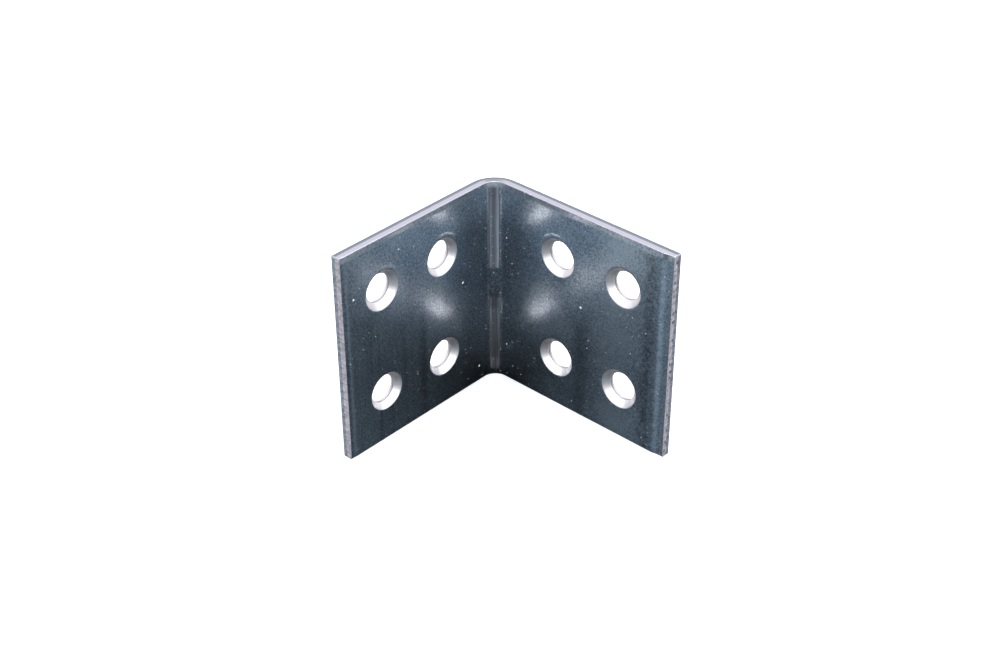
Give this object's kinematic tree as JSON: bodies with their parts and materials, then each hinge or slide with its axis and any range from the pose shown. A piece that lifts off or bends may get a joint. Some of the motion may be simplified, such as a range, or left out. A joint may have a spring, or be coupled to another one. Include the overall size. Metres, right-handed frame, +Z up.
{
  "type": "angle bracket",
  "caption": "Broad right-angle steel bracket, folded from sheet, with countersunk screw holes in each leaf for joining boards at a corner.",
  "frame": {"origin": "middle of the bounding box at the lower sheet edges, which the bracket stands on", "axes": "+Z up along the fold; leaf A's back faces -X and leaf A runs from the fold towards -Y; leaf B's back faces +Y and leaf B runs from the fold towards +X; the countersinks open on the inside of the angle"},
  "size_m": [0.0408, 0.038, 0.04],
  "materials": {
    "zinc_steel": "zinc-plated, dark blue-grey satin with fine rolling grain and bare sheared edges"
  },
  "bodies": {
    "root": {"bracket": "zinc_steel"}
  },
  "joints": []
}
